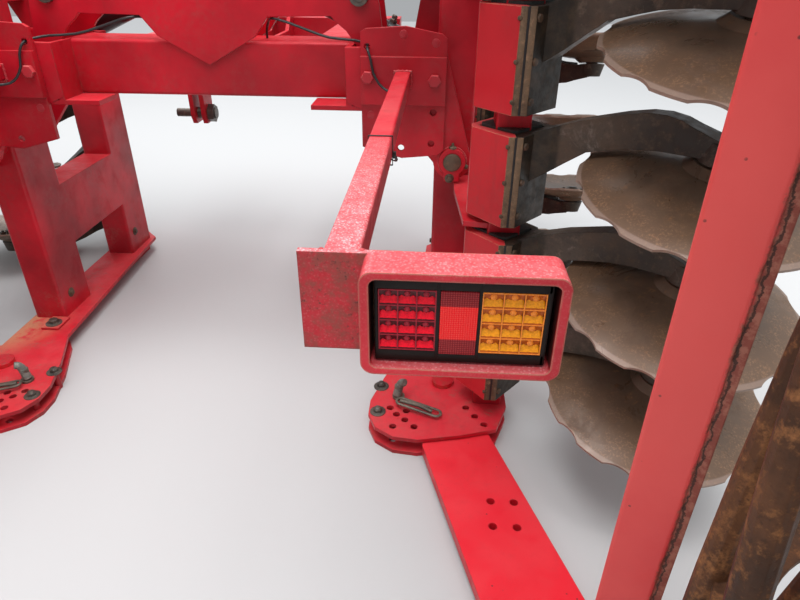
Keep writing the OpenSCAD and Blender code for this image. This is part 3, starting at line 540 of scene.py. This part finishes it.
def slab(bm, lo, hi, bevel):
    """A block between two corners, with its edges broken."""
    part = bmesh.new()
    bmesh.ops.create_cube(part, size=1)
    for v in part.verts:
        v.co = Vector([(l + h) / 2 + c * (h - l) for l, h, c in zip(lo, hi, v.co)])
    bmesh.ops.bevel(part, geom=part.edges[:], offset=bevel, segments=2, affect="EDGES", profile=0.6)
    tmp = bpy.data.meshes.new("tmp")
    part.to_mesh(tmp)
    part.free()
    bm.from_mesh(tmp)
    bpy.data.meshes.remove(tmp)


def mark(bm, start, index):
    """Gives the faces made since start another of the piece's materials."""
    bm.faces.ensure_lookup_table()
    for f in bm.faces[start:]:
        f.material_index = index


def piece(name, bm, body, mats, angle=35):
    """Makes a named object of the mesh, on a body of the frame."""
    bmesh.ops.recalc_face_normals(bm, faces=bm.faces[:])
    me = bpy.data.meshes.new(name)
    bm.to_mesh(me)
    bm.free()
    for mat in mats if isinstance(mats, (list, tuple)) else [mats]:
        me.materials.append(mat)
    me.polygons.foreach_set("use_smooth", [True] * len(me.polygons))
    me.set_sharp_from_angle(angle=math.radians(angle))
    ob = bpy.data.objects.new(name, me)
    bpy.context.collection.objects.link(ob)
    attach(ob, body)


def flip(g, p):
    """The place on the side that g names."""
    return (g * p[0], p[1], p[2])


def mirror(bm, g):
    """Takes a mesh made for the right side to the side that g names."""
    bmesh.ops.scale(bm, vec=(g, 1, 1), verts=bm.verts)


# Lamp clusters: twelve red cups, a reflector and twelve amber cups in a black tray
def highlight_and_shade_cup_looks(name, bright, deep, line):
    """Looks of a cup's lower half with a painted highlight, its upper half in painted shade, and the lens's
    ribs.
    """
    out = []
    for tag, color, rough in (("lit", bright, 0.25), ("deep", deep, 0.30), ("rib", line, 0.28)):
        k = Mat(name + tag)
        c = k.mix(k.step(k.noise(420, 4), 0.35, 0.68, 0, 0.5), color, tuple(v * 0.55 for v in color))
        out.append(k.finish(c, rough, k.bump(k.noise(500, 3), 0.12, 0.0004), 0.0, Coat_Weight=0.12,
                            Coat_Roughness=0.08, Specular_IOR_Level=0.2))
    return out


def prism_red():
    """The reflector: dotted all over, with a painted highlight band across its middle and darker red above
    and below it.
    """
    k = Mat("prism_red")
    s = k.split(k.co)
    slants = (k.math("ADD", s["X"], s["Z"], False), k.math("SUBTRACT", s["X"], s["Z"]))
    waves = [k.math("SINE", k.math("MULTIPLY", v, 1300.0, False)) for v in slants]
    grid = k.step(k.math("MULTIPLY", *waves, False), -0.2, 0.5)
    # Painted highlight: a bright band across the reflector's middle, set against darker red
    mid = k.math("ABSOLUTE", k.math("SUBTRACT", s["Z"], LAMP_Z - 0.001))
    lit = k.step(mid, 0.0200, 0.0190)
    color = k.mix(lit, (0.20, 0.003, 0.007), (0.86, 0.004, 0.008))
    color = k.mix(k.both(grid, 0.45), color, k.mix(lit, (0.55, 0.05, 0.05), (1.0, 0.10, 0.07)))
    return k.finish(color, 0.25, k.bump(grid, 0.4, 0.0006), 0.0, Coat_Weight=0.10, Coat_Roughness=0.1,
                    Specular_IOR_Level=0.2)


BLACK = plain("lamp_black", (0.009, 0.004, 0.003), 0.4, Specular_IOR_Level=0.2)
# Each lens gives a painted highlight colour for its cups' lower halves, a painted shade colour for their
# upper halves and a colour for the ribs
LENS = {
    "red": highlight_and_shade_cup_looks("lens_red_", (0.95, 0.004, 0.024), (0.075, 0.001, 0.005), (0.34, 0.012, 0.026)),
    "amber": highlight_and_shade_cup_looks("lens_amber_", (1.0, 0.36, 0.012), (0.50, 0.095, 0.005), (0.96, 0.27, 0.030)),
}
PRISM = prism_red()

# Order of a lens's looks: the painted highlight of a cup's lower half, the painted shade of its upper half,
# and the ribs
LIT, SHADED_HALF, RIB = range(3)


def cup_grid(bm, x0, z0, cols, rows, w, h):
    """Cups behind a ribbed lens, each with a crowned floor in a painted highlight, a roof in painted shade
    and a bulb.
    """
    y = LAMP_Y - 0.0042
    wall = 0.0007
    deep = 0.0036
    crown = (-0.04, 0.08, -0.02, 0.10, -0.02, 0.08, -0.04)
    for i in range(cols):
        for j in range(rows):
            cx, cz = x0 + (i + 0.5) * w, z0 + (j + 0.5) * h
            xs = [cx + (w / 2 - wall) * (t / 3 - 1) for t in range(7)]
            low = [bm.verts.new((x, y, cz - h / 2 + wall)) for x in xs]
            mid = [bm.verts.new((x, y + deep, cz + c * h)) for x, c in zip(xs, crown)]
            top = [bm.verts.new((x, y + 0.0006, cz + h / 2 - wall)) for x in xs]
            foot = [bm.verts.new(v.co.lerp(u.co, 0.16)) for v, u in zip(low, mid)]
            # Each cup's lower half takes the painted highlight; its bottom edge and upper half take the
            # painted shade
            for a in range(6):
                bm.faces.new((low[a], low[a + 1], foot[a + 1], foot[a])).material_index = SHADED_HALF
                bm.faces.new((foot[a], foot[a + 1], mid[a + 1], mid[a])).material_index = LIT
                bm.faces.new((mid[a], mid[a + 1], top[a + 1], top[a])).material_index = SHADED_HALF
            for a in (0, 6):
                bm.faces.new((low[a], foot[a], mid[a], top[a])).material_index = SHADED_HALF
            bulb = len(bm.faces)
            profile = [(w * 0.17, -0.0005), (w * 0.16, 0.0009), (w * 0.09, 0.0018), (0, 0.0021)]
            lathe(bm, (cx, y + deep * 0.45, cz + h * 0.24), (0, -1, 0), profile, 12)
            mark(bm, bulb, RIB)
    ribs = len(bm.faces)
    for i in range(cols + 1):
        x = x0 + i * w
        slab(bm, (x - wall, y - 0.0005, z0), (x + wall, y + 0.0030, z0 + rows * h), 0.0003)
    for j in range(rows + 1):
        z = z0 + j * h
        slab(bm, (x0 - wall, y - 0.0004, z - wall), (x0 + cols * w + wall, y + 0.0030, z + wall), 0.0003)
    mark(bm, ribs, RIB)


def lamp(side, g):
    """A tray with the red cups, the reflector and the amber cups, seen through the box's rim."""
    bm = bmesh.new()
    x, z, y = LAMP_X, LAMP_Z, LAMP_Y
    hw, hh = 0.0885, 0.0490
    front = y - 0.0045
    slab(bm, (x - hw, front, z - hh), (x - hw + 0.0035, y + 0.026, z + hh), 0.0012)
    slab(bm, (x + hw - 0.0055, front, z - hh), (x + hw, y + 0.026, z + hh), 0.0012)
    for lo, hi in ((-hh, -0.0362), (0.0362, hh)):
        slab(bm, (x - hw + 0.001, front, z + lo), (x + hw - 0.001, y + 0.0015, z + hi), 0.0012)
    for lo, hi in ((-0.0262, -0.0224), (0.0164, 0.0196)):
        slab(bm, (x + lo, front - 0.0003, z - hh + 0.002), (x + hi, y + 0.0015, z + hh - 0.002), 0.0006)
    slab(bm, (x - hw + 0.001, y - 0.0004, z - hh + 0.001), (x + hw - 0.001, y + 0.0005, z + hh - 0.001),
         0.0002)
    mirror(bm, g)
    piece("lamp_case_" + side, bm, "frame", BLACK)
    for name, x0, w in (("red", x - 0.0840, 0.0191), ("amber", x + 0.0200, 0.0207)):
        bm = bmesh.new()
        cup_grid(bm, x0, z - 0.0352, 3, 4, w, 0.0176)
        mirror(bm, g)
        piece("lamp_%s_%s" % (name, side), bm, "frame", LENS[name], angle=12)
    bm = bmesh.new()
    slab(bm, (x - 0.0222, y - 0.0050, z - 0.0392), (x + 0.0162, y - 0.0002, z + 0.0360), 0.0014)
    mirror(bm, g)
    piece("lamp_reflector_" + side, bm, "frame", PRISM)


for side, g in SIDES:
    lamp(side, g)

# Bolts, welds and other small fittings
ZINC = rusty("bolt_dull", (0.05, 0.045, 0.04), (0.12, 0.105, 0.09), (0.21, 0.15, 0.10), 0.42, 0.5, 2.0)
RUSTED = rusty("bolt_rusted", (0.045, 0.028, 0.017), (0.10, 0.058, 0.032), (0.18, 0.10, 0.055), 0.6, 0.1, 2.0)
STRIP = rusty("flange_edge", (0.075, 0.044, 0.024), (0.165, 0.105, 0.058), (0.34, 0.20, 0.115), 0.6, 0.1, 1.5)
PAINTED = paint("bolt_red", (0.60, 0.03, 0.045), (0.66, 0.10, 0.11), 0.25, 0.3, 0.3, worn=PALE_WORN)
TIE = plain("tie_black", (0.012, 0.012, 0.012), 0.4)
GALV = rusty("pin_grey", (0.13, 0.13, 0.11), (0.26, 0.27, 0.24), (0.36, 0.36, 0.31), 0.5, 0.4, 2.0)


def bracket_bits(side, g):
    """Bolts and welds of a lamp's bracket, and the tie round its arm."""
    bm = bmesh.new()
    for x, z in ((0.462, 0.912), (0.639, 0.906)):
        hexbolt(bm, flip(g, (x, 0.2257, z)), (0, -1, 0), 0.030, 0.0125, False)
    for x, y, z in ((0.468, 0.2377, 0.812), (0.640, 0.2377, 0.997), (0.556, 0.2377, 1.017)):
        plug = [(0, 0.0008), (0.0095, 0.0008), (0.0108, 0.0002), (0.0110, -0.0005)]
        lathe(bm, flip(g, (x, y, z)), (0, -1, 0), plug, 32)
    piece("bracket_bolts_" + side, bm, "frame", PAINTED)
    bm = bmesh.new()
    outline = ((ARM_IN, ARM_LOW), (ARM_IN, ARM_TOP), (ARM_OUT, ARM_TOP), (ARM_OUT, ARM_LOW), (ARM_IN, 0.886))
    for y, corners, r in ((ARM_SEAT_Y, outline, 0.0045), (ARM_END_Y, outline[:2], 0.0035),
                          (ARM_END_Y, outline[2:], 0.0035)):
        weld(bm, [flip(g, (x, y, z)) for x, z in corners], r)
    weld(bm, [flip(g, (0.619, -0.8835, z)) for z in (0.815, 0.925)], 0.003)
    piece("bracket_welds_" + side, bm, "frame", PAINTED)
    bm = bmesh.new()
    ty = -0.4225
    lo, hi = ty - 0.0024, ty + 0.0024
    for x0, z0, x1, z1 in ((0.5336, 0.9281, 0.5764, 0.9295), (0.5336, 0.8780, 0.5764, 0.8794),
                           (0.5336, 0.8780, 0.5349, 0.9295), (0.5751, 0.8780, 0.5764, 0.9295)):
        slab(bm, (x0, lo, z0), (x1, hi, z1), 0.0004)
    slab(bm, (0.5754, ty - 0.0046, 0.891), (0.5816, ty + 0.0046, 0.902), 0.0008)
    tail = ((0.579, 0, 0.897), (0.583, 0.008, 0.893), (0.582, 0.022, 0.893), (0.577, 0.034, 0.898))
    tail = [(x, ty - back, z) for x, back, z in tail]
    sweep(bm, smooth_line(tail, 0.003), 0.0026, 8, flat=0.4)
    mirror(bm, g)
    piece("lamp_arm_ties_" + side, bm, "frame", TIE)


def clamps():
    """Each clamp's row, number, place along the machine, height and the way that its arm steps."""
    for row, y, z0, up in ROWS:
        for k in range(DISCS):
            yield row, k, y, z0 + PITCH * k, up


BOLT_TIP = [(0.0, -0.004), (0.0050, -0.004), (0.0050, 0.0022), (0.0036, 0.0036), (0.0, 0.0036)]


def clamp_bits(side, g):
    """The two bolted edges of each clamp: worn flange ends, the dark joint between and three bolts."""
    edge = bmesh.new()
    joint = bmesh.new()
    bolts = bmesh.new()
    half = 0.1055
    for _, k, y, z, _ in clamps():
        for e in (-1, 1):
            face = y + e * CLAMP_HALF
            inner = face - e * 0.0003
            lo, hi = sorted((inner, face + e * 0.0018))
            for x in (-0.0093, 0.0093):
                x0, x1 = BEAM_X + x - 0.0068, BEAM_X + x + 0.0068
                slab(edge, (x0, lo, z - half), (x1, hi, z + half), 0.0006)
            lo, hi = sorted((inner, face + e * 0.0008))
            slab(joint, (BEAM_X - 0.0030, lo, z - half), (BEAM_X + 0.0030, hi, z + half), 0.0002)
            for h in (-0.078, 0.002, 0.084):
                head = (BEAM_X + 0.0185, face - e * 0.0095, z + h)
                hexbolt(bolts, head, (0.764, 0.645 * e, 0), 0.015, 0.009, False, 0.3 + k)
                tip = (BEAM_X - 0.0170, face + e * 0.0003, z + h)
                lathe(bolts, tip, (0, e, 0), BOLT_TIP, 8, 0.5 + k)
    for bm in (edge, joint, bolts):
        mirror(bm, g)
    piece("clamp_edges_" + side, edge, "wing_" + side, STRIP)
    piece("clamp_joints_" + side, joint, "wing_" + side, TIE)
    piece("clamp_bolts_" + side, bolts, "wing_" + side, RUSTED)


def hub_bits(side, g):
    """Five nuts and the cap of each hub, on the body of its disc."""
    for row, k, y, z, up in clamps():
        eye = Vector((g * (BEAM_X + EYE_OUT), y - EYE_BACK, z + up * EYE_STEP))
        ax = Vector((0, -math.sin(DISC_TILT), up * math.cos(DISC_TILT)))
        m = axes(ax)
        bm = bmesh.new()
        apex = eye - ax * 0.054
        for i in range(5):
            a = 2 * math.pi * i / 5 + 0.3 * k
            off = m @ Vector((0.037 * math.cos(a), 0.037 * math.sin(a), 0))
            nut_end(bm, apex + off, -ax, 0.019, 0.010, 0.004, a)
        cap = [(0, 0.001), (0.024, 0.001), (0.024, 0.014), (0.017, 0.022), (0, 0.024)]
        lathe(bm, apex, -ax, cap, 24)
        name = "%s_%s_%d" % (row, side, k + 1)
        piece("hub_nuts_" + name, bm, "disc_" + name, ZINC)


def knuckle_bits(side, g):
    """Two bolts on each knuckle plate, with the grip and the loop of its stop pin."""
    bm = bmesh.new()
    end = [(0.010, 0.008), (0.009, 0.0155), (0.005, 0.0175), (0, 0.018)]
    for z, way in KNUCKLES:
        for y in (-0.110, 0.006):
            spot = flip(g, (0.511, y, z))
            hexbolt(bm, spot, (0, 0, way), 0.022, 0.010, True, 0.4)
            lathe(bm, spot, (0, 0, way), end, 16)
    piece("knuckle_bolts_" + side, bm, "wing_" + side, ZINC)
    loop = bmesh.new()
    grip = bmesh.new()
    for z, way in KNUCKLES:
        a, b = Vector((0.577, -0.079, z + way * 0.016)), Vector((0.676, -0.119, z + way * 0.012))
        along = (b - a).normalized()
        across = Vector((-along.y, along.x, 0)) * 0.014
        turns = [math.pi * i / 12 for i in range(13)]
        ring = [b + across * math.cos(t) + along * 0.014 * math.sin(t) for t in turns]
        ring += [a - across * math.cos(t) - along * 0.014 * math.sin(t) for t in turns]
        sweep(loop, ring, 0.0042, 10, True, flat=0.8)
        raised = a.lerp(b, 0.5) + Vector((0, 0, way * 0.006))
        sweep(loop, [a - along * 0.004, raised, b - along * 0.012], 0.0055, 10)
        bent = ((0.562, -0.044, 0.012), (0.566, -0.043, 0.030), (0.570, -0.043, 0.046),
                (0.576, -0.046, 0.058), (0.584, -0.052, 0.062))
        bent = [(x, y, z + way * h) for x, y, h in bent]
        sweep(grip, smooth_line(bent, 0.003), lambda t: 0.0132 - 0.0022 * t, 16)
    for bm in (loop, grip):
        mirror(bm, g)
    piece("stop_pin_loop_" + side, loop, "wing_" + side, LOOKS["wing_pin_steel"])
    piece("stop_pin_grip_" + side, grip, "wing_" + side, GALV)


def hinge_bits(side, g):
    """Grease nipples and the keeper bolts of the hinge pins, behind the rear ears."""
    bm = bmesh.new()
    collar = [(0, 0), (0.011, 0), (0.011, 0.006), (0.0085, 0.008), (0, 0.008)]
    lathe(bm, (HINGE_X, 0.241, 0.7225), (0, 0, 1), collar, 6)
    nipple = [(0.0035, 0), (0.0042, 0.006), (0.0030, 0.009), (0, 0.010)]
    lathe(bm, (HINGE_X, 0.241, 0.7300), (0, 0, 1), nipple, 12)
    hexbolt(bm, (0.690, 0.2322, 0.640), (0, -1, 0), 0.013, 0.008, True)
    hexbolt(bm, (0.7335, 0.241, 0.673), (0.95, 0, -0.3), 0.012, 0.008, False)
    pin_end = [(0.0235, -0.001), (0.0235, 0.0008), (0.012, 0.0016), (0, 0.0016)]
    lathe(bm, (HINGE_X, 0.2282, HINGE_Z), (0, -1, 0), pin_end, 32)
    mirror(bm, g)
    piece("hinge_fittings_" + side, bm, "frame", LOOKS["hinge_steel"])
    bm = bmesh.new()
    turns = [2 * math.pi * i / 60 for i in range(61)]
    bead = [(HINGE_X + 0.0395 * math.cos(t), 0.2488, HINGE_Z + 0.0395 * math.sin(t)) for t in turns]
    weld(bm, bead, 0.0032)
    mirror(bm, g)
    piece("hinge_welds_" + side, bm, "frame", PAINTED)


def foot_bits(side, g):
    """The bolted lug at the foot of the rear post, and the rusty bolts low on the posts' inner faces."""
    bm = bmesh.new()
    slab(bm, (0.628, 0.236, 0.0595), (0.690, 0.314, 0.0690), 0.003)
    mirror(bm, g)
    piece("foot_lug_" + side, bm, "wing_" + side, LOOKS["wing_paint"])
    bm = bmesh.new()
    hexbolt(bm, (0.660, 0.268, 0.0690), (0, 0, 1), 0.026, 0.013, True, 0.5)
    mirror(bm, g)
    piece("foot_bolt_" + side, bm, "wing_" + side, ZINC)
    bm = bmesh.new()
    for place in ((0.645, 0.382, 0.130), (0.645, 0.908, 0.142)):
        hexbolt(bm, place, (-1, 0, 0), 0.017, 0.007, True, 0.4)
    mirror(bm, g)
    piece("post_bolts_" + side, bm, "wing_" + side, RUSTED)


def cylinder_bits(side, g):
    """Two rings and two oil ports on the barrel of a fold cylinder."""
    a = Vector((0.092, 0.606, 1.150))
    b = Vector((0.600, 0.606, 0.930))
    along = (b - a).normalized()
    bm = bmesh.new()
    for d, r in ((0.052, 0.0365), (0.462, 0.0375)):
        ring = [(r, 0), (r + 0.0015, 0.002), (r + 0.0015, 0.016), (r, 0.018)]
        lathe(bm, a + along * d, along, ring, 40)
    over = (Vector((0, 0, 1)) - along * along.z).normalized()
    for d in (0.085, 0.430):
        spot = a + along * d + over * 0.0355
        nut = [(0.013, -0.004), (0.013, 0.008), (0.009, 0.010), (0.009, 0.020), (0.006, 0.022), (0, 0.022)]
        lathe(bm, spot, over, nut, 6)
    mirror(bm, g)
    piece("barrel_fittings_" + side, bm, "cylinder_barrel_" + side, ZINC)


for side, g in SIDES:
    bracket_bits(side, g)
    clamp_bits(side, g)
    hub_bits(side, g)
    knuckle_bits(side, g)
    hinge_bits(side, g)
    foot_bits(side, g)
    cylinder_bits(side, g)


# Floor, sky and lamps
me = bpy.data.meshes.new("floor")
bm = bmesh.new()
bmesh.ops.create_grid(bm, x_segments=2, y_segments=2, size=12)
bm.to_mesh(me)
bm.free()
floor = bpy.data.objects.new("floor", me)
bpy.context.collection.objects.link(floor)
fm = Mat("floor_pale")
me.materials.append(fm.finish((0.52, 0.52, 0.52, 1), 0.9))

world = bpy.data.worlds.new("sky")
bpy.context.scene.world = world
world.use_nodes = True
back = world.node_tree.nodes["Background"]
back.inputs["Color"].default_value = (0.94, 0.97, 1.0, 1)
where = world.node_tree.nodes.new("ShaderNodeTexCoord")
parts = world.node_tree.nodes.new("ShaderNodeSeparateXYZ")
ramp = world.node_tree.nodes.new("ShaderNodeMapRange")
for name, value in (("From Min", 0.05), ("From Max", 0.95), ("To Min", 0.42), ("To Max", 1.45)):
    ramp.inputs[name].default_value = value
world.node_tree.links.new(where.outputs["Generated"], parts.inputs[0])
world.node_tree.links.new(parts.outputs["Z"], ramp.inputs["Value"])
world.node_tree.links.new(ramp.outputs["Result"], back.inputs["Strength"])


def area(name, place, target, size, power):
    """A round soft light at a place, turned to its target."""
    light = bpy.data.lights.new(name, "AREA")
    light.shape = "DISK"
    light.size = size
    light.energy = power
    ob = bpy.data.objects.new(name, light)
    bpy.context.collection.objects.link(ob)
    ob.location = place
    ob.rotation_euler = (Vector(target) - Vector(place)).to_track_quat("-Z", "Y").to_euler()


area("sky_panel", (0.9, -0.9, 6.0), (0.5, 0.1, 0.4), 5.5, 430)
area("back_panel", (-2.5, 4.5, 4.0), (0, 0, 0.8), 3.0, 60)

bpy.context.scene.view_settings.view_transform = "Standard"
